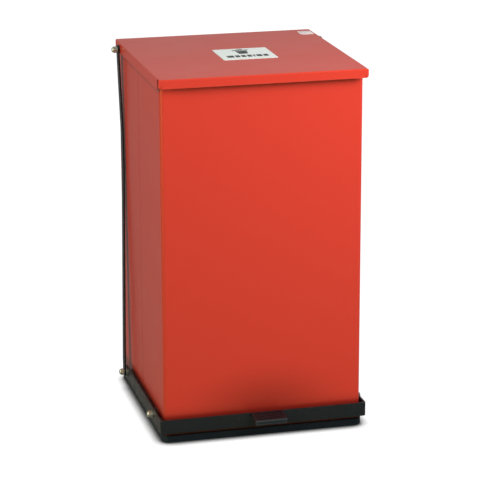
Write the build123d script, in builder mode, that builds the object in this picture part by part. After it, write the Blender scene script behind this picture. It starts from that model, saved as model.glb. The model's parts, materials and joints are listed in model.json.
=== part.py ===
from build123d import *
import os
from math import asin, atan2, cos, hypot, radians, sin

# Pedal bin of folded sheet steel, square in plan. All sizes in millimetres.
# Origin: on the floor under the middle of the cabinet. The pedal faces -Y, +Z is up.

# ---------------------------------------------------------------- driving sizes
WIDTH = 366.0            # cabinet, side to side and front to back
HEIGHT = 668.4           # floor to the top of the closed lid
SHEET = 1.0              # cabinet sheet
BEND_R = 7.0             # outside radius of the cabinet's upright corners
FIT_GAP = 0.1            # gap between nested sheet parts
SEAM_GAP = 1.4           # visible gap at the side seams
SEAM_LAP = 12.0          # how far the rear shell laps behind the front one

BASE_OVERHANG = 4.0      # moulded base beyond the cabinet wall
BASE_H = 14.0
BASE_FLOOR = 4.0
BASE_CORNER_R = 15.0

LID_SHEET = 1.2
LID_SIDE_OVERHANG = 5.0
LID_FRONT_OVERHANG = 14.6
LID_FLANGE = 16.2        # depth of the lid's front fold
LID_SIDE_FLANGE = 19.0   # depth of its side folds
LID_CORNER_NOTCH = 9.4   # open corner between side and front edge
BODY_TOP = HEIGHT - 7.4  # top edge of the cabinet

BAND_W = 25.5            # pedal band: one inch flat bar, on edge
BAND_T = 3.2
BAND_BOTTOM = 21.0
BAND_SIDE_X = 192.0      # outer face of the band beside the cabinet
BAND_FRONT_Y = -194.5    # outer face of the band across the front
BAND_END_Y = 128.0
BAND_BEND_R = 5.5

PIVOT_Y = -123.0         # the band turns here
PIVOT_Z = 35.0
LOWER_LINK_Y = 114.0     # the band lifts the bars here
LOWER_LINK_Z = 35.0
UPPER_LINK_Y = 147.0     # the bars lift the lid here
UPPER_LINK_Z = 655.5

HINGE_Y = 187.0          # lid hinge axis, along X
HINGE_Z = 663.5
HINGE_LENGTH = 330.0
KNUCKLE_COUNT = 13
KNUCKLE_R = 3.5
HINGE_PIN_R = 1.6
HINGE_LEAF = 1.2

BAR_W = 15.9             # lift bars: five eighths flat bar
BAR_T = 3.2

BOLT_R = 3.175           # quarter inch bolts throughout
BOLT_HOLE_R = 3.25
NUT_AF = 11.1
NUT_CAP = 3.4            # end of the bolt to the top of its domed nut
BUSH_R = 4.75
BUSH_HOLE_R = 4.8

PEDAL_W = 59.0
PEDAL_L = 33.0           # tread, front to back along its slope
PEDAL_H = 9.0
PEDAL_X = 5.0            # middle of the tread, a little off centre
PEDAL_REAR_Y = -196.4    # rear edge of the tread
PEDAL_REAR_Z = 48.6
PEDAL_TILT = radians(11.0)

PAIL_TOP = 520.0
PAIL_TOP_W = 310.0
PAIL_BOTTOM_W = 286.0
PAIL_WALL = 2.5
PAIL_CORNER_R = 30.0
BAIL_AXIS_Z = 500.0
BAIL_REACH = 105.0       # pivot axis to the middle of the grip
BAIL_HALF_W = 163.0
BAIL_WIRE_R = 3.0
BAIL_BEND_R = 4.2

# ---------------------------------------------------------------- derived sizes
HALF = WIDTH / 2
INNER = HALF - SHEET
NESTED_W = 2 * (INNER - FIT_GAP)   # sheet parts that sit inside the shells
LID_HALF = HALF + LID_SIDE_OVERHANG
LID_FRONT = -HALF - LID_FRONT_OVERHANG
LID_REAR = HALF
LID_LENGTH = LID_REAR - LID_FRONT
LID_UNDER = HEIGHT - LID_SHEET
LID_EDGE_Z = HEIGHT - LID_FLANGE
LID_SIDE_EDGE_Z = HEIGHT - LID_SIDE_FLANGE
SHELL_BOTTOM = BASE_FLOOR
SHELL_H = BODY_TOP - SHELL_BOTTOM
FLOOR_TOP = SHELL_BOTTOM + SHEET
BAND_INNER_X = BAND_SIDE_X - BAND_T

os.makedirs("parts", exist_ok=True)


# ---------------------------------------------------------------- helpers
def both_sides(x, y, z):
    """Two placements facing outwards, at +x and at -x."""
    right = Plane(origin=(x, y, z), x_dir=(0, 1, 0), z_dir=(1, 0, 0))
    left = Plane(origin=(-x, y, z), x_dir=(0, 1, 0), z_dir=(-1, 0, 0))
    return [right, left]


def washer(outer_r, thickness, hole_r=BOLT_HOLE_R):
    """Flat ring standing on its own XY plane."""
    with BuildPart() as ring:
        with BuildSketch():
            Circle(outer_r)
            Circle(hole_r, mode=Mode.SUBTRACT)
        extrude(amount=thickness)
    return ring.part


def acorn_nut(height):
    """Low-crowned hexagon cap nut standing on its own XY plane."""
    hex_h = 5.6
    dome_r = NUT_AF / 2 - 0.4
    with BuildPart() as nut:
        with BuildSketch():
            RegularPolygon(NUT_AF / 2, 6, major_radius=False)
        extrude(amount=hex_h)
        chamfer(nut.edges().group_by(Axis.Z)[0], 0.5)
        with BuildSketch(Plane.XY.offset(hex_h)):
            Circle(dome_r)
        extrude(amount=height - hex_h)
        fillet(nut.faces().sort_by(Axis.Z)[-1].edges(), (height - hex_h) * 0.8)
        with BuildSketch():
            Circle(BOLT_HOLE_R)
        extrude(amount=height - 2.4, mode=Mode.SUBTRACT)
    return nut.part


def hex_bolt(head_h, shank_l):
    """Hexagon bolt: the head's underside is the XY plane, the shank goes up."""
    with BuildPart() as bolt:
        with BuildSketch():
            RegularPolygon(NUT_AF / 2, 6, major_radius=False)
        extrude(amount=-head_h)
        chamfer(bolt.faces().sort_by(Axis.Z)[0].edges(), 0.4)
        with BuildSketch():
            Circle(BOLT_R)
        extrude(amount=shank_l)
        chamfer(bolt.faces().sort_by(Axis.Z)[-1].edges(), 0.5)
    return bolt.part


def low_head_bolt(head_r, head_h, shank_l):
    """Bolt with a thin domed head, for tight gaps."""
    with BuildPart() as bolt:
        with BuildSketch():
            Circle(head_r)
        extrude(amount=-head_h)
        fillet(bolt.faces().sort_by(Axis.Z)[0].edges(), head_h * 0.6)
        with BuildSketch():
            Circle(BOLT_R)
        extrude(amount=shank_l)
        chamfer(bolt.faces().sort_by(Axis.Z)[-1].edges(), 0.5)
    return bolt.part


def save(builder, name):
    """Label a finished sub-part and write its STEP file."""
    builder.part.label = name
    export_step(builder.part, f"parts/{name}.step")


# ---------------------------------------------------------------- moulded base
BASE_W = WIDTH + 2 * BASE_OVERHANG
BASE_POCKET = WIDTH + 0.6
BASE_RIVET_XY = 165.0
BASE_RIVET_R = 2.4
BASE_RIVET_HEAD_R = 5.0
BASE_RIVET_HEAD_H = 2.0
BASE_RIVET_FOOT = 1.2    # lower end of the rivets above the floor

with BuildPart() as base_tray:
    with BuildSketch():
        RectangleRounded(BASE_W, BASE_W, BASE_CORNER_R)
    extrude(amount=BASE_H)
    fillet(base_tray.faces().sort_by(Axis.Z)[0].edges(), 3.0)
    fillet(base_tray.faces().sort_by(Axis.Z)[-1].edges(), 1.0)
    with BuildSketch(Plane.XY.offset(BASE_FLOOR)):
        RectangleRounded(BASE_POCKET, BASE_POCKET, BEND_R + 0.3)
    extrude(amount=BASE_H, mode=Mode.SUBTRACT)
    with BuildSketch(Plane.XY.offset(BASE_RIVET_FOOT - FIT_GAP)):
        with GridLocations(2 * BASE_RIVET_XY, 2 * BASE_RIVET_XY, 2, 2):
            Circle(BASE_RIVET_R + FIT_GAP)
    extrude(amount=BASE_FLOOR, mode=Mode.SUBTRACT)
save(base_tray, "base_tray")

# Four push rivets hold the floor pan down on the base.
with BuildPart() as base_rivets:
    with BuildSketch(Plane.XY.offset(BASE_RIVET_FOOT)):
        with GridLocations(2 * BASE_RIVET_XY, 2 * BASE_RIVET_XY, 2, 2):
            Circle(BASE_RIVET_R)
    extrude(amount=FLOOR_TOP - BASE_RIVET_FOOT)
    with BuildSketch(Plane.XY.offset(FLOOR_TOP)):
        with GridLocations(2 * BASE_RIVET_XY, 2 * BASE_RIVET_XY, 2, 2):
            Circle(BASE_RIVET_HEAD_R)
    extrude(amount=BASE_RIVET_HEAD_H)
    fillet(base_rivets.edges().group_by(Axis.Z)[-1], 1.2)
save(base_rivets, "base_rivets")

# ---------------------------------------------------------------- floor pan
PAN_FLANGE_TOP = 20.0

with BuildPart() as floor_pan:
    with BuildSketch(Plane.XY.offset(SHELL_BOTTOM)):
        RectangleRounded(NESTED_W, NESTED_W, BEND_R - SHEET)
    extrude(amount=PAN_FLANGE_TOP - SHELL_BOTTOM)
    with BuildSketch(Plane.XY.offset(FLOOR_TOP)):
        RectangleRounded(NESTED_W - 2 * SHEET, NESTED_W - 2 * SHEET, BEND_R - 2 * SHEET)
    extrude(amount=PAN_FLANGE_TOP, mode=Mode.SUBTRACT)
    with BuildSketch(Plane.XY.offset(SHELL_BOTTOM)):
        with GridLocations(2 * BASE_RIVET_XY, 2 * BASE_RIVET_XY, 2, 2):
            Circle(BASE_RIVET_R + FIT_GAP)
    extrude(amount=SHEET, mode=Mode.SUBTRACT)
save(floor_pan, "floor_pan")

# ---------------------------------------------------------------- cabinet shells
# Two U-shaped sheets meet half way along each side. The rear one is joggled
# inwards by its own thickness and laps behind the front one.
LAP_BOTTOM = PAN_FLANGE_TOP + 1.0
RIM_DEPTH = 20.0
LAP_TOP = BODY_TOP - RIM_DEPTH - 1.0
HINGE_RIVET_Z = BODY_TOP - 16.0
HINGE_RIVET_R = 2.0
HINGE_RIVET_HEAD_R = 3.6
HINGE_RIVET_HEAD_H = 1.4
HINGE_RIVET_TAIL_R = 3.0
HINGE_RIVET_TAIL_H = 2.0
HINGE_RIVET_COUNT = 6
HINGE_RIVET_PITCH = 58.0


def row(count, pitch):
    """Evenly spaced positions, centred on zero."""
    return [(i - (count - 1) / 2) * pitch for i in range(count)]


hinge_rivet_row = [
    Plane(origin=(x, 0, HINGE_RIVET_Z), z_dir=(0, 1, 0))
    for x in row(HINGE_RIVET_COUNT, HINGE_RIVET_PITCH)
]

with BuildPart() as front_shell:
    with BuildSketch(Plane.XY.offset(SHELL_BOTTOM)):
        RectangleRounded(WIDTH, WIDTH, BEND_R)
        RectangleRounded(2 * INNER, 2 * INNER, BEND_R - SHEET, mode=Mode.SUBTRACT)
        with Locations((0, HALF - SEAM_GAP / 2)):
            Rectangle(WIDTH + 1, WIDTH, mode=Mode.SUBTRACT)
    extrude(amount=SHELL_H)
    with Locations(*both_sides(HALF, PIVOT_Y, PIVOT_Z)):
        Cylinder(BOLT_HOLE_R, 3 * SHEET, mode=Mode.SUBTRACT)
save(front_shell, "front_shell")

with BuildPart() as rear_shell:
    with BuildSketch(Plane.XY.offset(SHELL_BOTTOM)):
        RectangleRounded(WIDTH, WIDTH, BEND_R)
        RectangleRounded(2 * INNER, 2 * INNER, BEND_R - SHEET, mode=Mode.SUBTRACT)
        with Locations((0, -HALF + SEAM_GAP / 2)):
            Rectangle(WIDTH + 1, WIDTH, mode=Mode.SUBTRACT)
    extrude(amount=SHELL_H)
    # joggle and lap strip on each side
    with BuildSketch(Plane.XY.offset(LAP_BOTTOM)):
        for side in (-1, 1):
            with Locations((side * (INNER - FIT_GAP - SHEET / 2), (SEAM_GAP + SHEET - SEAM_LAP) / 2)):
                Rectangle(SHEET, SEAM_LAP + SHEET)
            with Locations((side * (INNER - FIT_GAP), SEAM_GAP / 2 + SHEET / 2)):
                Rectangle(2 * SHEET, SHEET)
    extrude(amount=LAP_TOP - LAP_BOTTOM)
    with Locations(*[p.offset(INNER) for p in hinge_rivet_row]):
        Cylinder(HINGE_RIVET_R + FIT_GAP, 4 * SHEET, mode=Mode.SUBTRACT)
save(rear_shell, "rear_shell")

# ---------------------------------------------------------------- rim frame
RIM_OPENING = 340.0
RIM_OPENING_R = 12.0
BUFFER_XY = 174.5
BUFFER_STEM_R = 2.0
BUFFER_STEM_L = 6.0

with BuildPart() as rim_frame:
    with BuildSketch(Plane.XY.offset(BODY_TOP - RIM_DEPTH)):
        RectangleRounded(NESTED_W, NESTED_W, BEND_R - SHEET)
    extrude(amount=RIM_DEPTH)
    with BuildSketch(Plane.XY.offset(BODY_TOP - RIM_DEPTH)):
        RectangleRounded(NESTED_W - 2 * SHEET, NESTED_W - 2 * SHEET, BEND_R - 2 * SHEET)
    extrude(amount=RIM_DEPTH - SHEET, mode=Mode.SUBTRACT)
    with BuildSketch(Plane.XY.offset(BODY_TOP - SHEET)):
        RectangleRounded(RIM_OPENING, RIM_OPENING, RIM_OPENING_R)
        with GridLocations(2 * BUFFER_XY, 2 * BUFFER_XY, 2, 2):
            Circle(BUFFER_STEM_R + FIT_GAP)
    extrude(amount=SHEET, mode=Mode.SUBTRACT)
    with Locations(*[p.offset(INNER - SHEET / 2) for p in hinge_rivet_row]):
        Cylinder(HINGE_RIVET_R + FIT_GAP, 4 * SHEET, mode=Mode.SUBTRACT)
save(rim_frame, "rim_frame")

# Rubber buffers in the rim's corners, which the lid closes on.
BUFFER_R = 5.0
BUFFER_H = LID_UNDER - BODY_TOP - 0.3

with BuildPart() as lid_buffers:
    with BuildSketch(Plane.XY.offset(BODY_TOP)):
        with GridLocations(2 * BUFFER_XY, 2 * BUFFER_XY, 2, 2):
            Circle(BUFFER_R)
    extrude(amount=BUFFER_H)
    fillet(lid_buffers.edges().group_by(Axis.Z)[-1], 1.8)
    with BuildSketch(Plane.XY.offset(BODY_TOP)):
        with GridLocations(2 * BUFFER_XY, 2 * BUFFER_XY, 2, 2):
            Circle(BUFFER_STEM_R)
    extrude(amount=-BUFFER_STEM_L)
    fillet(lid_buffers.edges().group_by(Axis.Z)[0], 1.0)
save(lid_buffers, "lid_buffers")

# ---------------------------------------------------------------- piano hinge
# Knuckles alternate between the two leaves along one pin. Even ones are the
# cabinet's, odd ones the lid's.
KNUCKLE_PITCH = HINGE_LENGTH / KNUCKLE_COUNT
KNUCKLE_GAP = 0.4
KNUCKLE_L = KNUCKLE_PITCH - KNUCKLE_GAP
LEAF_CLEAR_Z = HINGE_Z - 3.3       # leaf edge opposite the other leaf's knuckles
BODY_LEAF_DEPTH = 34.0
LID_LEAF_DEPTH = 34.0

hinge_axis_plane = Plane(origin=(0, HINGE_Y, HINGE_Z), x_dir=(0, 1, 0), z_dir=(1, 0, 0))
knuckle_x = row(KNUCKLE_COUNT, KNUCKLE_PITCH)
knuckle_planes = [hinge_axis_plane.offset(x - KNUCKLE_L / 2) for x in knuckle_x]

with BuildPart() as hinge_body_leaf:
    with BuildSketch(Plane.XY.offset(HINGE_Z - BODY_LEAF_DEPTH)):
        with Locations((0, HALF + HINGE_LEAF / 2)):
            Rectangle(HINGE_LENGTH - KNUCKLE_GAP, HINGE_LEAF)
    extrude(amount=LEAF_CLEAR_Z - HINGE_Z + BODY_LEAF_DEPTH)
    for plane, x in zip(knuckle_planes[::2], knuckle_x[::2]):
        with BuildSketch(plane):
            Circle(KNUCKLE_R)
        extrude(amount=KNUCKLE_L)
        with BuildSketch(Plane.XY.offset(LEAF_CLEAR_Z)):
            with Locations((x, HALF + HINGE_LEAF / 2)):
                Rectangle(KNUCKLE_L, HINGE_LEAF)
        extrude(amount=HINGE_Z - LEAF_CLEAR_Z)
    with Locations(hinge_axis_plane):
        Cylinder(HINGE_PIN_R + 0.05, HINGE_LENGTH + 2, mode=Mode.SUBTRACT)
    with Locations(*[p.offset(HALF) for p in hinge_rivet_row]):
        Cylinder(HINGE_RIVET_R + FIT_GAP, 4 * HINGE_LEAF, mode=Mode.SUBTRACT)
save(hinge_body_leaf, "hinge_body_leaf")

with BuildPart() as hinge_lid_leaf:
    with BuildSketch(Plane.XY.offset(LID_UNDER - HINGE_LEAF)):
        with Locations((0, LID_REAR - LID_LEAF_DEPTH / 2)):
            Rectangle(HINGE_LENGTH - KNUCKLE_GAP, LID_LEAF_DEPTH)
    extrude(amount=HINGE_LEAF)
    for plane, x in zip(knuckle_planes[1::2], knuckle_x[1::2]):
        with BuildSketch(plane):
            Circle(KNUCKLE_R)
        extrude(amount=KNUCKLE_L)
        with BuildSketch(Plane.XY.offset(LID_UNDER - HINGE_LEAF)):
            with Locations((x, (LID_REAR + HINGE_Y) / 2)):
                Rectangle(KNUCKLE_L, HINGE_Y - LID_REAR)
        extrude(amount=HINGE_LEAF)
    with Locations(hinge_axis_plane):
        Cylinder(HINGE_PIN_R + 0.05, HINGE_LENGTH + 2, mode=Mode.SUBTRACT)
save(hinge_lid_leaf, "hinge_lid_leaf")

with BuildPart() as hinge_pin:
    with Locations(hinge_axis_plane):
        Cylinder(HINGE_PIN_R, HINGE_LENGTH)
    chamfer(hinge_pin.edges().filter_by(GeomType.CIRCLE), 0.3)
save(hinge_pin, "hinge_pin")

# Blind rivets through leaf, shell and rim. Dome outside, upset tail inside.
RIVET_OUTER_Y = HALF + HINGE_LEAF
RIVET_INNER_Y = INNER - FIT_GAP - SHEET
FROM_PLANE = (Align.CENTER, Align.CENTER, Align.MIN)
TO_PLANE = (Align.CENTER, Align.CENTER, Align.MAX)

with BuildPart() as hinge_rivets:
    with Locations(*[p.offset(RIVET_OUTER_Y) for p in hinge_rivet_row]):
        Cylinder(HINGE_RIVET_HEAD_R, HINGE_RIVET_HEAD_H, align=FROM_PLANE)
    fillet(hinge_rivets.edges().group_by(Axis.Y)[-1], 1.0)
    with Locations(*[p.offset(RIVET_INNER_Y) for p in hinge_rivet_row]):
        Cylinder(HINGE_RIVET_R, RIVET_OUTER_Y - RIVET_INNER_Y, align=FROM_PLANE)
        Cylinder(HINGE_RIVET_TAIL_R, HINGE_RIVET_TAIL_H, align=TO_PLANE)
save(hinge_rivets, "hinge_rivets")

# ---------------------------------------------------------------- pedal pivots
# From inside out on each side: bolt head, doubler plate, cabinet wall, flanged
# bush that the band turns on, washer, domed nut.
PLATE_T = 2.5
PLATE_BOTTOM = PAN_FLANGE_TOP + 2.0
PLATE_W = 44.0
PLATE_H = 40.0
BUSH_FLANGE_R = 8.0
BAND_SIDE_PLAY = 0.2
PIVOT_NUT_H = 9.0
WASHER_T = 1.2
BUSH_END_X = BAND_SIDE_X + BAND_SIDE_PLAY
plate_inner_x = INNER - PLATE_T
pivot_nut_x = BUSH_END_X + WASHER_T

with BuildPart() as pivot_plates:
    for plane in both_sides(plate_inner_x, PIVOT_Y, PLATE_BOTTOM + PLATE_H / 2):
        with BuildSketch(plane):
            RectangleRounded(PLATE_W, PLATE_H, 4.0)
        extrude(amount=PLATE_T)
    with Locations(*both_sides(plate_inner_x, PIVOT_Y, PIVOT_Z)):
        Cylinder(BOLT_HOLE_R, 3 * PLATE_T, mode=Mode.SUBTRACT)
save(pivot_plates, "pivot_plates")

pivot_bolt = hex_bolt(4.0, pivot_nut_x + PIVOT_NUT_H - NUT_CAP - plate_inner_x)
with BuildPart() as pivot_bolts:
    with Locations(*both_sides(plate_inner_x, PIVOT_Y, PIVOT_Z)):
        add(pivot_bolt)
save(pivot_bolts, "pivot_bolts")

with BuildPart() as pivot_bushes:
    for plane in both_sides(HALF, PIVOT_Y, PIVOT_Z):
        with BuildSketch(plane):
            Circle(BUSH_FLANGE_R)
        extrude(amount=BAND_INNER_X - BAND_SIDE_PLAY - HALF)
        with BuildSketch(plane):
            Circle(BUSH_R)
        extrude(amount=BUSH_END_X - HALF)
        with BuildSketch(plane):
            Circle(BOLT_HOLE_R)
        extrude(amount=BUSH_END_X - HALF, mode=Mode.SUBTRACT)
save(pivot_bushes, "pivot_bushes")

pivot_washer = washer(NUT_AF / 2 + 1.4, WASHER_T)
with BuildPart() as pivot_washers:
    with Locations(*both_sides(BUSH_END_X, PIVOT_Y, PIVOT_Z)):
        add(pivot_washer)
save(pivot_washers, "pivot_washers")

pivot_nut = acorn_nut(PIVOT_NUT_H)
with BuildPart() as pivot_nuts:
    with Locations(*both_sides(pivot_nut_x, PIVOT_Y, PIVOT_Z)):
        add(pivot_nut)
save(pivot_nuts, "pivot_nuts")

# ---------------------------------------------------------------- lid panel
# Flat sheet folded down at the front and both sides. The folds stop short of
# each other at the front corners, and the rear edge ends at the hinge.
LID_BEND_R = 2.0
LID_MID_Y = (LID_REAR + LID_FRONT) / 2
FLANGE_CORNER_R = 5.0

with BuildPart() as lid_panel:
    with BuildSketch(Plane.XY.offset(LID_SIDE_EDGE_Z)):
        with Locations((0, LID_MID_Y)):
            Rectangle(2 * LID_HALF, LID_LENGTH)
    extrude(amount=LID_SIDE_FLANGE)
    fillet(lid_panel.edges().group_by(Axis.Z)[-1].sort_by(Axis.Y)[:-1], LID_BEND_R)
    # hollow underside, open at the rear
    with BuildSketch(Plane.XY.offset(LID_SIDE_EDGE_Z)):
        with Locations((0, LID_MID_Y + LID_SHEET)):
            Rectangle(2 * (LID_HALF - LID_SHEET), LID_LENGTH)
    extrude(amount=LID_SIDE_FLANGE - LID_SHEET, mode=Mode.SUBTRACT)
    # the front fold is not as deep as the side folds
    with BuildSketch(Plane.XY.offset(LID_SIDE_EDGE_Z)):
        with Locations((0, LID_FRONT + LID_SHEET)):
            Rectangle(2 * LID_HALF + 1, 2 * LID_CORNER_NOTCH)
    extrude(amount=LID_SIDE_FLANGE - LID_FLANGE, mode=Mode.SUBTRACT)
    # open front corners, cut from the side folds right up into the bend
    with BuildSketch(Plane.XY.offset(LID_SIDE_EDGE_Z)):
        for side in (-1, 1):
            with Locations((side * LID_HALF, LID_FRONT + LID_SHEET + LID_CORNER_NOTCH / 2)):
                Rectangle(2 * LID_BEND_R, LID_CORNER_NOTCH)
    extrude(amount=LID_SIDE_FLANGE, mode=Mode.SUBTRACT)
    # rounded lower corners of the three folds
    low_edges = lid_panel.edges().filter_by(lambda e: e.length < 2 * LID_SHEET)
    fillet(low_edges.filter_by(Axis.X).group_by(Axis.Z)[0], FLANGE_CORNER_R)
    front_ends = lid_panel.edges().filter_by(lambda e: e.length < 2 * LID_SHEET)
    fillet(front_ends.filter_by(Axis.Y).group_by(Axis.Z)[0], FLANGE_CORNER_R)
    with Locations(*both_sides(LID_HALF, UPPER_LINK_Y, UPPER_LINK_Z)):
        Cylinder(BOLT_HOLE_R, 4 * LID_SHEET, mode=Mode.SUBTRACT)
save(lid_panel, "lid_panel")

LABEL_W = 100.0
LABEL_L = 95.0
LABEL_T = 0.3
LABEL_AT = (11.0, -14.5)
STICKER_W = 25.5
STICKER_L = 31.0
STICKER_T = 0.2
STICKER_AT = (171.0, 149.5)

with BuildPart() as lid_label:
    with BuildSketch(Plane.XY.offset(HEIGHT)):
        with Locations(LABEL_AT):
            RectangleRounded(LABEL_W, LABEL_L, 3.0)
    extrude(amount=LABEL_T)
save(lid_label, "lid_label")

with BuildPart() as lid_sticker:
    with BuildSketch(Plane.XY.offset(HEIGHT)):
        with Locations(STICKER_AT):
            RectangleRounded(STICKER_W, STICKER_L, 2.0)
    extrude(amount=STICKER_T)
save(lid_sticker, "lid_sticker")

# ---------------------------------------------------------------- lid-side link pins
# Each pin is a low-headed bolt from inside the lid's side fold, through a
# spacer and the bar's eye, to a domed nut.
UPPER_BAR_X = 189.0              # bar's inner face at its upper eye
LINK_PLAY = 0.2
LINK_NUT_H = 8.8
upper_head_x = LID_HALF - LID_SHEET
upper_washer_x = UPPER_BAR_X + BAR_T + LINK_PLAY
upper_nut_x = upper_washer_x + WASHER_T

upper_bolt = low_head_bolt(7.5, 2.8, upper_nut_x + LINK_NUT_H - NUT_CAP - upper_head_x)
with BuildPart() as upper_bolts:
    with Locations(*both_sides(upper_head_x, UPPER_LINK_Y, UPPER_LINK_Z)):
        add(upper_bolt)
save(upper_bolts, "upper_bolts")

upper_spacer = washer(6.5, UPPER_BAR_X - LINK_PLAY - LID_HALF)
with BuildPart() as upper_spacers:
    with Locations(*both_sides(LID_HALF, UPPER_LINK_Y, UPPER_LINK_Z)):
        add(upper_spacer)
save(upper_spacers, "upper_spacers")

upper_washer = washer(NUT_AF / 2 + 0.9, WASHER_T)
with BuildPart() as upper_washers:
    with Locations(*both_sides(upper_washer_x, UPPER_LINK_Y, UPPER_LINK_Z)):
        add(upper_washer)
save(upper_washers, "upper_washers")

link_nut = acorn_nut(LINK_NUT_H)
with BuildPart() as upper_nuts:
    with Locations(*both_sides(upper_nut_x, UPPER_LINK_Y, UPPER_LINK_Z)):
        add(link_nut)
save(upper_nuts, "upper_nuts")

# ---------------------------------------------------------------- pedal band
# One flat bar on edge, bent round the front and both sides. Its rear ends have
# a slot each for the lower link bolts.
SLOT_L = 18.0
SLOT_H = 10.6

with BuildPart() as pedal_band:
    with BuildSketch(Plane.XY.offset(BAND_BOTTOM)):
        with BuildLine():
            FilletPolyline(
                (BAND_SIDE_X, BAND_END_Y),
                (BAND_SIDE_X, BAND_FRONT_Y),
                (-BAND_SIDE_X, BAND_FRONT_Y),
                (-BAND_SIDE_X, BAND_END_Y),
                radius=BAND_BEND_R,
            )
            offset(amount=BAND_T, side=Side.RIGHT)
        make_face()
    extrude(amount=BAND_W)
    rear_ends = pedal_band.edges().filter_by(Axis.X).group_by(Axis.Y)[-1]
    fillet(rear_ends, BAND_W / 2 - 0.8)
    long_edges = pedal_band.faces().filter_by(Axis.Z).edges().filter_by(lambda e: e.length > 100)
    fillet(long_edges, 0.5)
    with Locations(*both_sides(BAND_SIDE_X, PIVOT_Y, PIVOT_Z)):
        Cylinder(BUSH_HOLE_R, 4 * BAND_T, mode=Mode.SUBTRACT)
    for plane in both_sides(BAND_SIDE_X, LOWER_LINK_Y, LOWER_LINK_Z):
        with BuildSketch(plane):
            SlotOverall(SLOT_L, SLOT_H)
        extrude(amount=-2 * BAND_T, mode=Mode.SUBTRACT)
save(pedal_band, "pedal_band")

# Steel tab welded to the band, and the ribbed rubber pad that slips over it.
# Both slope down to the front. The tread plane holds the top of the pad, with
# its origin at the middle of the rear edge and +Y up the slope.
TAB_W = 50.0
TAB_T = 3.0
TAB_L = PEDAL_L - 6.0
TAB_TOP = -3.0           # tab below the tread
RIB_PITCH = 5.4
RIB_GROOVE = 2.0
RIB_DEPTH = 1.2
RIB_COUNT = 5
RIB_MARGIN = 3.5         # plain edge at each end of the grooves
LIP_GROOVE = 1.6
LIP_GROOVE_TOP = -3.6
LIP_GROOVE_DEPTH = 1.2

tread_plane = Plane(
    origin=(PEDAL_X, PEDAL_REAR_Y, PEDAL_REAR_Z),
    x_dir=(1, 0, 0),
    z_dir=(0, -sin(PEDAL_TILT), cos(PEDAL_TILT)),
)
tread_axis = Axis(tread_plane.origin, tread_plane.z_dir)

with BuildPart() as pedal_tab:
    with BuildSketch(tread_plane.offset(TAB_TOP)):
        Rectangle(TAB_W, 2 * TAB_L)
    extrude(amount=-TAB_T)
    fillet(pedal_tab.edges().filter_by(tread_axis).group_by(Axis.Y)[0], 4.0)
    # trimmed to the band's front face
    with BuildSketch(Plane.XY):
        with Locations((PEDAL_X, BAND_FRONT_Y + TAB_L)):
            Rectangle(2 * TAB_W, 2 * TAB_L)
    extrude(amount=2 * PEDAL_REAR_Z, mode=Mode.SUBTRACT)
save(pedal_tab, "pedal_tab")

with BuildPart() as pedal_pad:
    with BuildSketch(tread_plane):
        with Locations((0, -PEDAL_L / 2)):
            Rectangle(PEDAL_W, PEDAL_L)
    extrude(amount=-PEDAL_H)
    upright_edges = pedal_pad.edges().filter_by(tread_axis)
    fillet(upright_edges.group_by(Axis.Y)[0], 2.5)
    fillet(pedal_pad.faces().sort_by(Axis.Z)[-1].edges(), 1.2)
    fillet(pedal_pad.faces().sort_by(Axis.Z)[0].edges(), 1.0)
    # cross ribs on the tread
    with BuildSketch(tread_plane):
        with Locations((0, -PEDAL_L / 2)):
            with GridLocations(1, RIB_PITCH, 1, RIB_COUNT):
                Rectangle(PEDAL_W - 2 * RIB_MARGIN, RIB_GROOVE)
    extrude(amount=-RIB_DEPTH, mode=Mode.SUBTRACT)
    # groove along the front lip
    with BuildSketch(tread_plane.offset(LIP_GROOVE_TOP)):
        with Locations((0, -PEDAL_L)):
            Rectangle(PEDAL_W - 2 * RIB_MARGIN, 2 * LIP_GROOVE_DEPTH)
    extrude(amount=-LIP_GROOVE, mode=Mode.SUBTRACT)
    # pocket for the tab, open at the rear
    with BuildSketch(tread_plane.offset(TAB_TOP + FIT_GAP)):
        Rectangle(TAB_W + 2 * FIT_GAP, 2 * (TAB_L + FIT_GAP))
    extrude(amount=-TAB_T - 2 * FIT_GAP, mode=Mode.SUBTRACT)
save(pedal_pad, "pedal_pad")

# ---------------------------------------------------------------- lift bars
# Flat bars. Each leans outwards below to pass the band, and above to pass the
# lid's fold. Worked in the plane that holds the two eyes and the X direction.
LOWER_BAR_X = 194.2              # inner face at the lower eye
MIDDLE_BAR_X = 185.5             # inner face where it runs nearest the cabinet
BAR_LEAN = atan2(UPPER_LINK_Y - LOWER_LINK_Y, UPPER_LINK_Z - LOWER_LINK_Z)
BAR_LENGTH = hypot(UPPER_LINK_Y - LOWER_LINK_Y, UPPER_LINK_Z - LOWER_LINK_Z)
BAR_END = 8.5                    # bar beyond each eye
BAR_BENDS = (26.0, BAR_LENGTH - 225.0, BAR_LENGTH - 150.0, BAR_LENGTH - 14.0)
BAR_BEND_R = 24.0

bar_plane = Plane(
    origin=(0, LOWER_LINK_Y, LOWER_LINK_Z),
    x_dir=(1, 0, 0),
    z_dir=(0, -cos(BAR_LEAN), sin(BAR_LEAN)),
)


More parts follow.
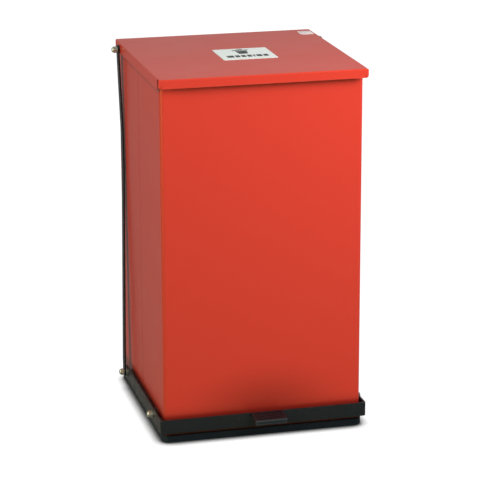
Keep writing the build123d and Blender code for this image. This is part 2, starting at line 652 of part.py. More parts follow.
def lift_bar(side):
    """Bent flat bar with an eye at each end, on the side +1 or -1."""
    with BuildPart() as bar:
        with BuildSketch(bar_plane):
            with BuildLine():
                FilletPolyline(
                    (side * LOWER_BAR_X, -BAR_END),
                    (side * LOWER_BAR_X, BAR_BENDS[0]),
                    (side * MIDDLE_BAR_X, BAR_BENDS[1]),
                    (side * MIDDLE_BAR_X, BAR_BENDS[2]),
                    (side * UPPER_BAR_X, BAR_BENDS[3]),
                    (side * UPPER_BAR_X, BAR_LENGTH + BAR_END),
                    radius=BAR_BEND_R,
                )
                offset(amount=BAR_T, side=Side.RIGHT if side > 0 else Side.LEFT)
            make_face()
        extrude(amount=BAR_W / 2, both=True)
        end_edges = bar.edges().filter_by(Axis.X)
        fillet(end_edges, BAR_W / 2 - 0.4)
        with Locations(*both_sides(LOWER_BAR_X, LOWER_LINK_Y, LOWER_LINK_Z)):
            Cylinder(BOLT_HOLE_R, 4 * BAR_T, mode=Mode.SUBTRACT)
        with Locations(*both_sides(UPPER_BAR_X, UPPER_LINK_Y, UPPER_LINK_Z)):
            Cylinder(BOLT_HOLE_R, 4 * BAR_T, mode=Mode.SUBTRACT)
    return bar


# Lower link hardware, which rides with each bar. From inside out: bolt head,
# wide washer, the band's slot, wide spacer, bar, domed nut.
WIDE_WASHER_R = 9.5
WIDE_WASHER_T = 0.7
head_plane_x = BAND_INNER_X - LINK_PLAY - WIDE_WASHER_T
lower_spacer_x = BAND_SIDE_X + LINK_PLAY
lower_nut_x = LOWER_BAR_X + BAR_T

lower_bolt = hex_bolt(3.4, lower_nut_x + LINK_NUT_H - NUT_CAP - head_plane_x)
wide_washer = washer(WIDE_WASHER_R, WIDE_WASHER_T)
lower_spacer = washer(WIDE_WASHER_R, LOWER_BAR_X - lower_spacer_x)

for side, word in ((1, "right"), (-1, "left")):
    index = 0 if side > 0 else 1
    save(lift_bar(side), f"lift_bar_{word}")

    with BuildPart() as bolt_part:
        with Locations(both_sides(head_plane_x, LOWER_LINK_Y, LOWER_LINK_Z)[index]):
            add(lower_bolt)
    save(bolt_part, f"lower_bolt_{word}")

    with BuildPart() as washer_part:
        with Locations(both_sides(head_plane_x, LOWER_LINK_Y, LOWER_LINK_Z)[index]):
            add(wide_washer)
        with Locations(both_sides(lower_spacer_x, LOWER_LINK_Y, LOWER_LINK_Z)[index]):
            add(lower_spacer)
    save(washer_part, f"lower_washers_{word}")

    with BuildPart() as nut_part:
        with Locations(both_sides(lower_nut_x, LOWER_LINK_Y, LOWER_LINK_Z)[index]):
            add(link_nut)
    save(nut_part, f"lower_nut_{word}")

# ---------------------------------------------------------------- inner pail
PAIL_BOTTOM = FLOOR_TOP + 1.3
RIM_BEAD_H = 10.0
RIM_BEAD_OUT = 3.0
RIM_BEAD_W = PAIL_TOP_W + 2 * RIM_BEAD_OUT
RIM_MID_W = PAIL_TOP_W - PAIL_WALL
PAIL_FOOT_R = PAIL_CORNER_R - 2.0
PAIL_INSIDE_FOOT_W = PAIL_BOTTOM_W - 2 * PAIL_WALL
PAIL_INSIDE_TOP_W = PAIL_TOP_W - 2 * PAIL_WALL
BOSS_R = 9.0
BOSS_END_X = 158.6
BOSS_BORE_R = BAIL_WIRE_R + 0.05
BOSS_BORE_X = 153.9

with BuildPart() as pail:
    with BuildSketch(Plane.XY.offset(PAIL_BOTTOM)):
        RectangleRounded(PAIL_BOTTOM_W, PAIL_BOTTOM_W, PAIL_FOOT_R)
    with BuildSketch(Plane.XY.offset(PAIL_TOP)):
        RectangleRounded(PAIL_TOP_W, PAIL_TOP_W, PAIL_CORNER_R)
    loft()
    fillet(pail.faces().sort_by(Axis.Z)[0].edges(), 4.0)
    with BuildSketch(Plane.XY.offset(PAIL_BOTTOM + PAIL_WALL)):
        RectangleRounded(PAIL_INSIDE_FOOT_W, PAIL_INSIDE_FOOT_W, PAIL_FOOT_R - PAIL_WALL)
    with BuildSketch(Plane.XY.offset(PAIL_TOP)):
        RectangleRounded(PAIL_INSIDE_TOP_W, PAIL_INSIDE_TOP_W, PAIL_CORNER_R - PAIL_WALL)
    loft(mode=Mode.SUBTRACT)
    # rolled rim
    with BuildSketch(Plane.XY.offset(PAIL_TOP - RIM_BEAD_H)):
        RectangleRounded(RIM_BEAD_W, RIM_BEAD_W, PAIL_CORNER_R + RIM_BEAD_OUT)
        RectangleRounded(RIM_MID_W, RIM_MID_W, PAIL_CORNER_R - PAIL_WALL / 2, mode=Mode.SUBTRACT)
    extrude(amount=RIM_BEAD_H)
    fillet(pail.faces().sort_by(Axis.Z)[-1].outer_wire().edges(), 1.5)
    # boss for the bail on each side, with its blind bore
    for plane in both_sides(BOSS_BORE_X - 1.5, 0, BAIL_AXIS_Z):
        with BuildSketch(plane):
            Circle(BOSS_R)
        extrude(amount=BOSS_END_X - BOSS_BORE_X + 1.5)
    for plane in both_sides(BOSS_BORE_X, 0, BAIL_AXIS_Z):
        with BuildSketch(plane):
            Circle(BOSS_BORE_R)
        extrude(amount=BOSS_END_X - BOSS_BORE_X + 1, mode=Mode.SUBTRACT)
save(pail, "pail")

# Wire bail, lying forward across the pail's side rims.
BAIL_REST_RISE = PAIL_TOP + BAIL_WIRE_R + 0.3 - BAIL_AXIS_Z
BAIL_REST = asin(BAIL_REST_RISE / BAIL_REACH)
bail_plane = Plane(
    origin=(0, 0, BAIL_AXIS_Z),
    x_dir=(1, 0, 0),
    z_dir=(0, -sin(BAIL_REST), -cos(BAIL_REST)),
)
GRIP_L = 90.0
GRIP_R = 8.0

with BuildPart() as bail_wire:
    with BuildLine(bail_plane) as bail_path:
        FilletPolyline(
            (BOSS_BORE_X + 0.4, 0),
            (BAIL_HALF_W, 0),
            (BAIL_HALF_W, BAIL_REACH),
            (-BAIL_HALF_W, BAIL_REACH),
            (-BAIL_HALF_W, 0),
            (-BOSS_BORE_X - 0.4, 0),
            radius=BAIL_BEND_R,
        )
    with BuildSketch(Plane(origin=bail_path.line @ 0, z_dir=bail_path.line % 0)):
        Circle(BAIL_WIRE_R)
    sweep()
save(bail_wire, "bail_wire")

with BuildPart() as bail_grip:
    grip_y = -BAIL_REACH * cos(BAIL_REST)
    grip_z = BAIL_AXIS_Z + BAIL_REST_RISE
    with Locations(Plane(origin=(0, grip_y, grip_z), z_dir=(1, 0, 0))):
        Cylinder(GRIP_R, GRIP_L)
        fillet(bail_grip.edges().filter_by(GeomType.CIRCLE), 2.0)
        Cylinder(BAIL_WIRE_R + 0.05, GRIP_L + 2, mode=Mode.SUBTRACT)
save(bail_grip, "bail_grip")
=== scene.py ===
import json
import math

import bmesh
import bpy
from mathutils import Matrix, Vector


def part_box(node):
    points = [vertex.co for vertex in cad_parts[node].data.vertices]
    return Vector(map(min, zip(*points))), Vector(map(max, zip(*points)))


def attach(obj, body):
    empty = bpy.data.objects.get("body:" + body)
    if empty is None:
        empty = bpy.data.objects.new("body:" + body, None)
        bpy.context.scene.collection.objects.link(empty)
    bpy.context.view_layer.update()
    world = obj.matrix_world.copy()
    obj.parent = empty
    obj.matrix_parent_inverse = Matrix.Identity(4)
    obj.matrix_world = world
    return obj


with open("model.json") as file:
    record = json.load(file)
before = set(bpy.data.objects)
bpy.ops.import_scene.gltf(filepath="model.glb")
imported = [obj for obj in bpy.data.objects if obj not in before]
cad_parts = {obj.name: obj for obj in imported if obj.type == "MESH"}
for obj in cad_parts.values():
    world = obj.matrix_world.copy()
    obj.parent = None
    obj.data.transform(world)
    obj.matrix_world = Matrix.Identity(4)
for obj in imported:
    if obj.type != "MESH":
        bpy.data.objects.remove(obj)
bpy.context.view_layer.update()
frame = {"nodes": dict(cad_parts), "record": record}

MM = 0.001

# ------------------------------------------------------------------ places on the bin
pedal_low, pedal_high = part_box("pedal_pad")
shell_low, shell_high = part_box("front_shell")
lid_low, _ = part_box("lid_panel")
_, base_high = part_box("base_tray")
band_low, band_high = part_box("pedal_band")

# The soft patch of painted shade on the front above the pedal, and how far it fades each way.
PEDAL_SHADE_CENTRE = (0.5 * (pedal_low[0] + pedal_high[0]), shell_low[1], band_high[2] - 6 * MM)
PEDAL_SHADE_REACH = (185 * MM, 60 * MM, 108 * MM)

# The painted shadow lines on the walls just under the lid's side folds; LONG takes in the whole wall.
LONG = 10.0
FOLD_SHADOW_LINES = ((shell_low[0], 0.0, lid_low[2]), (shell_high[0], 0.0, lid_low[2]))
FOLD_SHADOW_REACH = (2 * MM, LONG, 14 * MM)

# ------------------------------------------------------------------ camera, stage and lights
CAMERA_PLACE = (-0.9551, -3.8207, 1.4650)
CAMERA_YAW = math.radians(14.096)
CAMERA_PITCH = math.radians(16.278)
CAMERA_ROLL = math.radians(-0.2075)
SENSOR_WIDTH = 36.0   # millimetres
LENS = 165.93         # millimetres
CLIP = (0.1, 60.0)

FLOOR_REACH = 24.0          # half the floor's side
FLOOR_CELLS = 8
BOUNCE_DEPTH = 0.5 * MM     # the bounce sheet below the floor that is seen
CONTACT_SHADOW = 27 * MM    # how far the shadow round the bin's foot spreads

WORLD_STRENGTH = 0.281
WHITE = (1.0, 1.0, 1.0)
WARM = (0.89, 1.0, 0.62)
# name: (place, target, size, watts, colour, whether it shows in glossy surfaces)
# The two keys only light the bin: mirrored in the lid they would wash it out from behind.
SOFTBOXES = {
    "key_right": ((0.95, -1.0, 1.25), (0.0, -0.18, 0.5), (0.6, 0.6), 28.2, WHITE, False),
    "key": ((0.35, -1.5, 1.15), (0.0, -0.18, 0.5), (0.7, 0.7), 6.3, WHITE, False),
    "backdrop": ((0.8, 3.4, 1.6), (0.0, 0.0, 0.8), (5.0, 2.4), 7.0, WHITE, True),
    "left": ((-2.2, -1.0, 1.9), (0.0, 0.0, 0.4), (1.0, 1.0), 39.8, WARM, True),
    "left_low": ((-2.4, -1.2, 0.8), (0.0, 0.0, 0.3), (1.2, 1.2), 22.3, WARM, True),
}


def make_camera():
    """Camera a little above the bin, in front of it and to its left."""
    flat = math.cos(CAMERA_PITCH)
    forward = Vector((math.sin(CAMERA_YAW) * flat, math.cos(CAMERA_YAW) * flat, -math.sin(CAMERA_PITCH)))
    level = Vector((math.cos(CAMERA_YAW), -math.sin(CAMERA_YAW), 0.0))
    upright = level.cross(forward)
    right = level * math.cos(CAMERA_ROLL) + upright * math.sin(CAMERA_ROLL)
    up = upright * math.cos(CAMERA_ROLL) - level * math.sin(CAMERA_ROLL)
    data = bpy.data.cameras.new("camera")
    data.sensor_width = SENSOR_WIDTH
    data.lens = LENS
    data.clip_start, data.clip_end = CLIP
    camera = bpy.data.objects.new("camera", data)
    bpy.context.scene.collection.objects.link(camera)
    camera.matrix_world = Matrix((
        (right.x, up.x, -forward.x, CAMERA_PLACE[0]),
        (right.y, up.y, -forward.y, CAMERA_PLACE[1]),
        (right.z, up.z, -forward.z, CAMERA_PLACE[2]),
        (0.0, 0.0, 0.0, 1.0),
    ))
    bpy.context.scene.camera = camera


# ------------------------------------------------------------------ node helpers
class Shader:
    """A node material under construction, with short calls for what every finish here needs."""

    def __init__(self, name, colour, roughness, metallic=0.0):
        self.material = bpy.data.materials.new(name)
        self.material.use_nodes = True
        self.tree = self.material.node_tree
        self.bsdf = self.tree.nodes["Principled BSDF"]
        self.bsdf.inputs["Base Color"].default_value = (*colour, 1.0)
        self.bsdf.inputs["Roughness"].default_value = roughness
        self.bsdf.inputs["Metallic"].default_value = metallic
        self.colour = (*colour, 1.0)
        self.coords = self.node("ShaderNodeTexCoord").outputs["Object"]

    def node(self, kind, **settings):
        made = self.tree.nodes.new(kind)
        for key, value in settings.items():
            setattr(made, key, value)
        return made

    def link(self, source, target):
        self.tree.links.new(source, target)

    def stretch(self, scale):
        """Object coordinates scaled per axis, for grain that runs one way."""
        mapping = self.node("ShaderNodeMapping")
        mapping.inputs["Scale"].default_value = scale
        self.link(self.coords, mapping.inputs["Vector"])
        return mapping.outputs["Vector"]

    def noise(self, scale, detail=3.0, rough=0.5, vector=None):
        made = self.node("ShaderNodeTexNoise")
        made.inputs["Scale"].default_value = scale
        made.inputs["Detail"].default_value = detail
        made.inputs["Roughness"].default_value = rough
        self.link(vector or self.coords, made.inputs["Vector"])
        return made.outputs["Fac"]

    def cells(self, scale, output="Distance"):
        made = self.node("ShaderNodeTexVoronoi", feature="F1")
        made.inputs["Scale"].default_value = scale
        self.link(self.coords, made.inputs["Vector"])
        return made.outputs[output]

    def remap(self, value, low, high, to_low=0.0, to_high=1.0):
        """The value eased from one range into another, and held at its ends."""
        made = self.node("ShaderNodeMapRange", interpolation_type="SMOOTHSTEP")
        sockets = ("From Min", "From Max", "To Min", "To Max")
        for socket, number in zip(sockets, (low, high, to_low, to_high)):
            made.inputs[socket].default_value = number
        self.link(value, made.inputs["Value"])
        return made.outputs["Result"]

    def maths(self, operation, a, b):
        made = self.node("ShaderNodeMath", operation=operation)
        for socket, value in zip(made.inputs, (a, b)):
            if isinstance(value, (int, float)):
                socket.default_value = value
            else:
                self.link(value, socket)
        return made.outputs[0]

    def mix(self, factor, a, b):
        """Colour between a and b; each is a colour or a socket."""
        made = self.node("ShaderNodeMix", data_type="RGBA")
        self.link(factor, made.inputs["Factor"])
        for socket, value in ((made.inputs["A"], a), (made.inputs["B"], b)):
            if isinstance(value, tuple):
                socket.default_value = value
            else:
                self.link(value, socket)
        return made.outputs["Result"]

    def near(self, centre, reach):
        """1 at a point of the object, fading to 0 over its reach along each axis."""
        mapping = self.node("ShaderNodeMapping", vector_type="TEXTURE")
        mapping.inputs["Location"].default_value = centre
        mapping.inputs["Scale"].default_value = reach
        self.link(self.coords, mapping.inputs["Vector"])
        length = self.node("ShaderNodeVectorMath", operation="LENGTH")
        self.link(mapping.outputs["Vector"], length.inputs[0])
        return self.remap(length.outputs["Value"], 1.0, 0.0)

    def along(self, axis, low, high, to_low=0.0, to_high=1.0):
        """A value that runs from to_low to to_high between two places on one axis of the object."""
        split = self.node("ShaderNodeSeparateXYZ")
        self.link(self.coords, split.inputs[0])
        return self.remap(split.outputs[axis], low, high, to_low, to_high)

    def edges(self, radius):
        """1 on convex edges within about radius metres, 0 on flats."""
        bevel = self.node("ShaderNodeBevel", samples=6)
        bevel.inputs["Radius"].default_value = radius
        geometry = self.node("ShaderNodeNewGeometry")
        dot = self.node("ShaderNodeVectorMath", operation="DOT_PRODUCT")
        self.link(bevel.outputs["Normal"], dot.inputs[0])
        self.link(geometry.outputs["Normal"], dot.inputs[1])
        return self.remap(dot.outputs["Value"], 0.995, 0.90)

    def bumps(self, *layers):
        """Stack of (height socket, depth in metres) bumps, finest last."""
        normal = None
        for height, depth in layers:
            bump = self.node("ShaderNodeBump")
            bump.inputs["Strength"].default_value = 1.0
            bump.inputs["Distance"].default_value = depth
            self.link(height, bump.inputs["Height"])
            if normal is not None:
                self.link(normal, bump.inputs["Normal"])
            normal = bump.outputs["Normal"]
        self.link(normal, self.bsdf.inputs["Normal"])


def shade(colour, factor):
    """The colour made darker or lighter."""
    return tuple(channel * factor for channel in colour[:3]) + (1.0,)


# ------------------------------------------------------------------ finishes
RUBBED_AND_HIGHLIGHT_RED = (0.56, 0.12, 0.09, 1.0)
GAP_SHADE = (0.03, 0.012, 0.010, 1.0)
WORN_STEEL = (0.11, 0.105, 0.095, 1.0)
WORN_RUBBER = (0.021, 0.030, 0.033, 1.0)


def red_enamel():
    """Baked enamel on sheet: waviness, orange peel, uneven gloss, rubbed edges partly painted as edge
    highlights, and painted shade above the pedal and band, under the lid's side folds and in the gap above
    the base.
    """
    s = Shader("red_enamel", (0.50, 0.0325, 0.0212), 0.30)
    tone = s.mix(s.noise(3.0, 1.0), shade(s.colour, 0.985), shade(s.colour, 1.015))
    # Painted shade: the front darkens in a soft patch above the pedal, where the pedal and band block light
    # from the floor.
    patch_mask = s.maths("MULTIPLY", s.near(PEDAL_SHADE_CENTRE, PEDAL_SHADE_REACH), 0.57)
    tone = s.mix(patch_mask, tone, shade(s.colour, 0.22))
    # Painted shade: the walls darken towards the top of the band, where its ledge blocks light from below.
    above_band_shade = s.along("Z", band_high[2] + 24 * MM, band_high[2] - 4 * MM, 0.0, 0.35)
    tone = s.mix(above_band_shade, tone, shade(s.colour, 0.35))
    # Painted shadow: a dark line on each side wall just under the lid's side fold.
    fold_shadow = s.maths("ADD", *(s.near(line, FOLD_SHADOW_REACH) for line in FOLD_SHADOW_LINES))
    tone = s.mix(s.maths("MULTIPLY", fold_shadow, 0.85), tone, shade(s.colour, 0.3))
    # Painted shade: the walls darken just above the band, in the recess behind the lever.
    behind_lever_shade = s.along("Z", band_high[2] + 9 * MM, band_high[2] - 3 * MM, 0.0, 0.8)
    tone = s.mix(behind_lever_shade, tone, shade(s.colour, 0.25))
    # Painted shade: the walls go dark in the narrow gap between the band and the base.
    gap_shade = s.along("Z", band_low[2] + 6 * MM, base_high[2] + 4 * MM, 0.0, 0.55)
    tone = s.mix(gap_shade, tone, GAP_SHADE)
    # Edges lightened in patches: partly rubbed paint, partly a painted highlight along the edges.
    rub_and_highlight = s.maths("MULTIPLY", s.edges(1.2 * MM), s.remap(s.noise(90.0, 4.0), 0.45, 0.6))
    s.link(s.mix(s.maths("MULTIPLY", rub_and_highlight, 0.5), tone, RUBBED_AND_HIGHLIGHT_RED), s.bsdf.inputs["Base Color"])
    uneven = s.remap(s.noise(9.0, 2.0), 0.3, 0.7, 0.285, 0.315)
    haze = s.maths("ADD", uneven, s.maths("MULTIPLY", rub_and_highlight, 0.15))
    s.link(haze, s.bsdf.inputs["Roughness"])
    s.bsdf.inputs["IOR"].default_value = 1.5
    s.bsdf.inputs["Specular Tint"].default_value = (0.94, 1.0, 0.45, 1.0)
    s.bumps((s.noise(4.0, 1.0), 0.35 * MM), (s.noise(450.0, 1.0), 0.004 * MM))
    return s.material


def black_enamel():
    """Satin black paint on hot-rolled flat bar, scuffed along its edges."""
    s = Shader("black_enamel", (0.0045, 0.0068, 0.0082), 0.32)
    worn = s.maths("MULTIPLY", s.edges(0.9 * MM), s.remap(s.noise(160.0, 5.0, 0.6), 0.50, 0.62))
    tone = s.mix(s.noise(40.0, 4.0), shade(s.colour, 0.8), shade(s.colour, 1.35))
    s.link(s.mix(worn, tone, WORN_STEEL), s.bsdf.inputs["Base Color"])
    s.link(s.remap(s.noise(60.0, 3.0), 0.3, 0.7, 0.27, 0.38), s.bsdf.inputs["Roughness"])
    s.bsdf.inputs["Specular Tint"].default_value = (0.84, 1.0, 0.94, 1.0)
    scratches = s.remap(s.noise(260.0, 2.0, vector=s.stretch((1.0, 0.08, 1.0))), 0.62, 0.68)
    s.bumps((s.noise(60.0, 2.0), 0.05 * MM), (scratches, -0.01 * MM))
    return s.material


def moulded_rubber(name, colour, roughness, grain, sheen):
    """Matt moulded rubber: fine cast texture, dusty hollows, and the pedal's front edge worn grey."""
    s = Shader(name, colour, roughness)
    s.bsdf.inputs["Specular Tint"].default_value = (*sheen, 1.0)
    dust = s.remap(s.noise(35.0, 5.0), 0.45, 0.75)
    toe_wear = s.along("Y", pedal_low[1] + 4 * MM, pedal_low[1] + 1.5 * MM, 0.0, 0.9)
    tone = s.mix(dust, s.colour, shade(s.colour, 1.4))
    s.link(s.mix(toe_wear, tone, WORN_RUBBER), s.bsdf.inputs["Base Color"])
    uneven = s.remap(s.noise(50.0, 4.0), 0.3, 0.7, roughness - 0.08, roughness + 0.1)
    s.link(uneven, s.bsdf.inputs["Roughness"])
    s.bumps((s.noise(30.0, 2.0), 0.12 * MM), (s.noise(grain, 3.0), 0.03 * MM))
    return s.material


def galvanised():
    """Zinc-coated sheet with its crystal spangle."""
    s = Shader("galvanised", (0.50, 0.52, 0.54), 0.4, metallic=0.9)
    spangle = s.cells(95.0, output="Color")
    grey = s.node("ShaderNodeSeparateColor")
    s.link(spangle, grey.inputs[0])
    tone = s.mix(grey.outputs[0], shade(s.colour, 0.8), shade(s.colour, 1.15))
    s.link(tone, s.bsdf.inputs["Base Color"])
    s.link(s.remap(grey.outputs[1], 0.0, 1.0, 0.3, 0.5), s.bsdf.inputs["Roughness"])
    s.bumps((s.noise(300.0, 3.0), 0.02 * MM),)
    return s.material


def nickel():
    """Plated fasteners gone warm and dull, with turning marks and handling haze."""
    s = Shader("nickel", (0.74, 0.70, 0.62), 0.38, metallic=1.0)
    stain = s.remap(s.noise(400.0, 4.0), 0.4, 0.7)
    s.link(s.mix(stain, s.colour, shade(s.colour, 0.72)), s.bsdf.inputs["Base Color"])
    s.link(s.remap(s.noise(500.0, 3.0), 0.3, 0.7, 0.34, 0.50), s.bsdf.inputs["Roughness"])
    s.bumps((s.noise(900.0, 2.0, vector=s.stretch((6.0, 1.0, 1.0))), 0.015 * MM),)
    return s.material


def nylon():
    """Black nylon, a little greyed."""
    s = Shader("nylon", (0.022, 0.022, 0.023), 0.5)
    tone = s.mix(s.noise(120.0, 4.0), shade(s.colour, 0.85), shade(s.colour, 1.05))
    s.link(tone, s.bsdf.inputs["Base Color"])
    s.link(s.remap(s.noise(200.0, 3.0), 0.3, 0.7, 0.42, 0.6), s.bsdf.inputs["Roughness"])
    s.bumps((s.noise(500.0, 3.0), 0.02 * MM),)
    return s.material


def liner_plastic():
    """Grey rigid polyethylene with a faint pebble grain and scuffs."""
    s = Shader("liner_plastic", (0.30, 0.31, 0.32), 0.5)
    patch_mask = s.remap(s.noise(60.0, 5.0, 0.65, s.stretch((1.0, 1.0, 0.15))), 0.60, 0.72)
    s.link(s.mix(patch_mask, s.colour, shade(s.colour, 1.35)), s.bsdf.inputs["Base Color"])
    s.link(s.remap(s.noise(25.0, 4.0), 0.3, 0.7, 0.44, 0.62), s.bsdf.inputs["Roughness"])
    s.bumps((s.noise(8.0, 2.0), 0.6 * MM), (s.cells(900.0), 0.03 * MM))
    return s.material


def gloss_grip():
    """Black moulded grip, shiny where hands polish it."""
    s = Shader("grip_plastic", (0.02, 0.02, 0.021), 0.3)
    tone = s.mix(s.noise(80.0, 3.0), shade(s.colour, 0.85), shade(s.colour, 1.4))
    s.link(tone, s.bsdf.inputs["Base Color"])
    s.link(s.remap(s.noise(70.0, 4.0), 0.3, 0.7, 0.22, 0.42), s.bsdf.inputs["Roughness"])
    s.bumps((s.noise(250.0, 3.0), 0.03 * MM),)
    return s.material


def coated_paper(name, colour):
    """White coated label stock, slightly uneven under its varnish."""
    s = Shader(name, colour, 0.35)
    tone = s.mix(s.noise(60.0, 3.0), shade(s.colour, 0.96), shade(s.colour, 1.02))
    s.link(tone, s.bsdf.inputs["Base Color"])
    s.link(s.remap(s.noise(150.0, 3.0), 0.3, 0.7, 0.3, 0.45), s.bsdf.inputs["Roughness"])
    s.bumps((s.noise(45.0, 2.0), 0.06 * MM), (s.noise(1200.0, 2.0), 0.006 * MM))
    return s.material


def floor_finish():
    """White studio floor, lit from below, with a soft contact shadow."""
    s = Shader("studio_floor", (0.02, 0.02, 0.02), 0.9)
    reach = s.node("ShaderNodeAmbientOcclusion", samples=16)
    reach.inputs["Distance"].default_value = CONTACT_SHADOW
    glow = s.remap(reach.outputs["AO"], 0.46, 0.97, 0.10, 1.06)
    tint = s.node("ShaderNodeCombineColor")
    for socket in tint.inputs:
        s.link(glow, socket)
    s.link(tint.outputs["Color"], s.bsdf.inputs["Emission Color"])
    s.bsdf.inputs["Emission Strength"].default_value = 1.0
    s.bsdf.inputs["Specular IOR Level"].default_value = 0.0
    return s.material


def bounce_finish():
    """Pale matt paper."""
    s = Shader("studio_paper", (0.8, 0.8, 0.8), 0.9)
    s.link(s.mix(s.noise(2.0, 2.0), shade(s.colour, 0.97), s.colour), s.bsdf.inputs["Base Color"])
    s.bsdf.inputs["Specular IOR Level"].default_value = 0.1
    return s.material


FINISHES = {
    "red_enamel": red_enamel(),
    "black_enamel": black_enamel(),
    "base_black": moulded_rubber("base_black", (0.003, 0.0045, 0.006), 0.5, 900.0, (0.62, 0.84, 1.0)),
    "pedal_rubber": moulded_rubber(
        "pedal_rubber", (0.0085, 0.0045, 0.0065), 0.62, 1300.0, (0.80, 0.66, 0.76)),
    "galvanised": galvanised(),
    "fastener": nickel(),
    "bush_plastic": nylon(),
    "liner_plastic": liner_plastic(),
    "grip_plastic": gloss_grip(),
    "label_white": coated_paper("label_white", (0.74, 0.77, 0.80)),
    "sticker_white": coated_paper("sticker_white", (0.82, 0.74, 0.76)),
    "print_ink": coated_paper("print_ink", (0.008, 0.010, 0.013)),
    "sticker_ink": coated_paper("sticker_ink", (0.62, 0.47, 0.58)),
}


def finish_cad_nodes():
    """Every CAD node gets the finish of its material slot."""
    for part in frame["record"]["subparts"]:
        mesh_object = frame["nodes"][part["node"]]
        mesh_object.data.materials.clear()
        mesh_object.data.materials.append(FINISHES[part["material_slot"]])


# ------------------------------------------------------------------ mesh pieces
def piece(name, form, material, body):
    """Turns finished geometry into a piece that rides on a body."""
    mesh = bpy.data.meshes.new(name)
    bmesh.ops.recalc_face_normals(form, faces=form.faces)
    form.to_mesh(mesh)
    form.free()
    made = bpy.data.objects.new(name, mesh)
    bpy.context.scene.collection.objects.link(made)
    mesh.materials.append(material)
    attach(made, body)
    return made


def slab(form, outline, low, high):
    """Adds a closed flat-topped plate with this outline between two heights."""
    floor = [form.verts.new((x, y, low)) for x, y in outline]
    roof = [form.verts.new((x, y, high)) for x, y in outline]
    form.faces.new(roof)
    form.faces.new(floor[::-1])
    for i in range(len(outline)):
        j = (i + 1) % len(outline)
        form.faces.new((floor[i], floor[j], roof[j], roof[i]))


def rounded(points, radius, steps=5):
    """The outline of a convex polygon, given anticlockwise, with its corners rounded."""
    outline = []
    count = len(points)
    for i, (x, y) in enumerate(points):
        here = Vector((x, y))
        back = (Vector(points[i - 1]) - here).normalized()
        ahead = (Vector(points[(i + 1) % count]) - here).normalized()
        half = 0.5 * back.angle(ahead)
        start = here + back * (radius / math.tan(half))
        end = here + ahead * (radius / math.tan(half))
        centre = here + (back + ahead).normalized() * (radius / math.sin(half))
        for step in range(steps + 1):
            spoke = (start - centre).lerp(end - centre, step / steps).normalized() * radius
            outline.append(tuple(centre + spoke))
    return outline


def block(low_x, low_y, high_x, high_y):
    """The corners of a rectangle, anticlockwise."""
    return [(low_x, low_y), (high_x, low_y), (high_x, high_y), (low_x, high_y)]


PRINT_T = 0.06 * MM
# The prints are laid out in shares of a label's width and length.
BIN_BODY = ((0.405, 0.50), (0.565, 0.50), (0.595, 0.775), (0.375, 0.775))
BIN_RIM = (0.335, 0.81, 0.635, 0.87)
BIN_KNOB = (0.43, 0.895, 0.54, 0.935)
# Plain marks under the sign: start and end of each across, and the row's edges along.
LABEL_MARKS = (
    (0.12, 0.25), (0.275, 0.36), (0.385, 0.47), (0.495, 0.58), (0.605, 0.64), (0.665, 0.77), (0.795, 0.885),
)
MARK_ROW = (0.20, 0.38)
STICKER_MARKS = ((0.10, 0.58, 0.90, 0.86), (0.10, 0.36, 0.62, 0.46), (0.10, 0.16, 0.48, 0.26))


def printing(label):
    """A function from shares of a label's width and length to places on its face, and the face's height."""
    low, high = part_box(label)

    def place(u, v):
        return low[0] + u * (high[0] - low[0]), low[1] + v * (high[1] - low[1])

    return place, high[2]


def make_label_art():
    """A generic waste-bin sign over a row of plain marks; no lettering."""
    place, top = printing("lid_label")
    form = bmesh.new()

    def add(corners, radius):
        slab(form, rounded([place(u, v) for u, v in corners], radius), top, top + PRINT_T)

    add(BIN_BODY, 1.5 * MM)
    add(block(*BIN_RIM), 1.2 * MM)
    add(block(*BIN_KNOB), 0.8 * MM)
    for start, end in LABEL_MARKS:
        add(block(start, MARK_ROW[0], end, MARK_ROW[1]), 1.6 * MM)
    piece("label_sign", form, FINISHES["print_ink"], "lid")


def make_sticker_art():
    """A pale band and a few short lines on the small sticker."""
    place, top = printing("lid_sticker")
    form = bmesh.new()
    for mark in STICKER_MARKS:
        corners = [place(u, v) for u, v in block(*mark)]
        slab(form, rounded(corners, 0.7 * MM), top, top + PRINT_T)
    piece("sticker_marks", form, FINISHES["sticker_ink"], "lid")


WELD_RADIUS = 0.8 * MM
WELD_PITCH = 1.1 * MM      # from ripple to ripple
WELD_INSET = 3 * MM        # bare plate at each end of a run
WELD_WAIST = 0.84          # the bead between ripples, as a share of its radius
WELD_END = 0.35            # the bead's ends, as a share of it
WELD_SIDES = 10
PLATE_DEPTH = 3.4 * MM     # from the tab's upper face to the lower bead


def make_weld(name, start, end, facing, body):
    """A run of weld: overlapping round ripples in the corner between two plates."""
    form = bmesh.new()
    run = Vector(end) - Vector(start)
    count = int(run.length / WELD_PITCH)
    rings = []
    side = run.normalized()
    across = Vector(facing).normalized()
    other = side.cross(across)
    for i in range(2 * count + 1):
        along = i / (2 * count)
        swell = WELD_RADIUS * (1.0 if i % 2 else WELD_WAIST)
        if i in (0, 2 * count):
            swell *= WELD_END
        centre = Vector(start) + run * along
        rings.append([
            form.verts.new(centre + swell * (math.cos(a) * across + math.sin(a) * other))
            for a in (2.0 * math.pi * k / WELD_SIDES for k in range(WELD_SIDES))
        ])
    for one, two in zip(rings, rings[1:]):
        for k in range(WELD_SIDES):
            j = (k + 1) % WELD_SIDES
            form.faces.new((one[k], one[j], two[j], two[k]))
    form.faces.new(rings[0][::-1])
    form.faces.new(rings[-1])
    made = piece(name, form, FINISHES["black_enamel"], body)
    for face in made.data.polygons:
        face.use_smooth = True


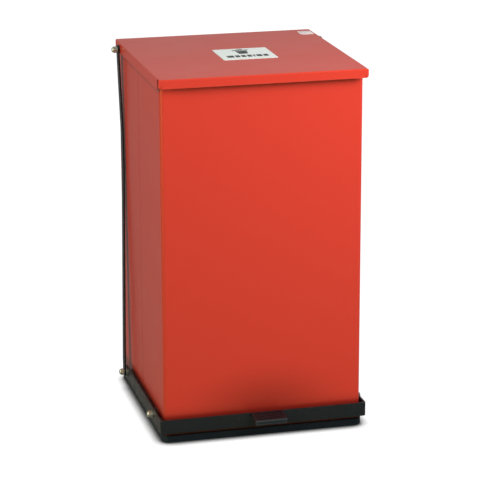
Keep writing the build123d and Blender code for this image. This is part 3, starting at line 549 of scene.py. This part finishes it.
def make_welds():
    """The pedal's tab is welded to the lever above and below."""
    tab_low, tab_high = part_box("pedal_tab")
    corner = tab_high[1] - 0.1 * MM
    for name, height, facing in (
        ("tab_weld_upper", tab_high[2] + 0.2 * MM, (0, -1, 1)),
        ("tab_weld_lower", tab_high[2] - PLATE_DEPTH, (0, -1, -1)),
    ):
        start = (tab_low[0] + WELD_INSET, corner, height)
        end = (tab_high[0] - WELD_INSET, corner, height)
        make_weld(name, start, end, facing, "pedal")


# ------------------------------------------------------------------ stage
def plane(name, height, material):
    """A large level sheet that belongs to the stage."""
    mesh = bpy.data.meshes.new(name)
    form = bmesh.new()
    bmesh.ops.create_grid(form, x_segments=FLOOR_CELLS, y_segments=FLOOR_CELLS, size=FLOOR_REACH)
    bmesh.ops.translate(form, verts=form.verts, vec=(0.0, 0.0, height))
    form.to_mesh(mesh)
    form.free()
    sheet = bpy.data.objects.new(name, mesh)
    bpy.context.scene.collection.objects.link(sheet)
    mesh.materials.append(material)
    return sheet


def make_stage():
    """The white floor that is seen, and the dimmer one that throws light back at the bin."""
    floor = plane("floor", 0.0, floor_finish())
    floor.visible_diffuse = False
    floor.visible_glossy = False
    bounce = plane("floor_bounce", -BOUNCE_DEPTH, bounce_finish())
    bounce.visible_camera = False


def area_light(name, place, target, size, watts, colour, in_gloss):
    """A soft box at a place, turned to its target and out of the camera's sight."""
    data = bpy.data.lights.new(name, "AREA")
    data.shape = "RECTANGLE"
    data.size, data.size_y = size
    data.energy = watts
    data.color = colour
    light = bpy.data.objects.new(name, data)
    bpy.context.scene.collection.objects.link(light)
    light.location = place
    light.visible_camera = False
    light.visible_glossy = in_gloss
    light.rotation_mode = "QUATERNION"
    light.rotation_quaternion = (Vector(target) - Vector(place)).to_track_quat("-Z", "Y")


def make_lights():
    """Soft boxes in an even white room."""
    scene = bpy.context.scene
    scene.view_settings.view_transform = "Standard"
    world = bpy.data.worlds.new("studio")
    scene.world = world
    world.use_nodes = True
    background = world.node_tree.nodes["Background"]
    background.inputs["Color"].default_value = (*WHITE, 1.0)
    background.inputs["Strength"].default_value = WORLD_STRENGTH
    for name, settings in SOFTBOXES.items():
        area_light(name, *settings)


# ------------------------------------------------------------------ the scene
make_camera()
finish_cad_nodes()
make_label_art()
make_sticker_art()
make_welds()
make_stage()
make_lights()
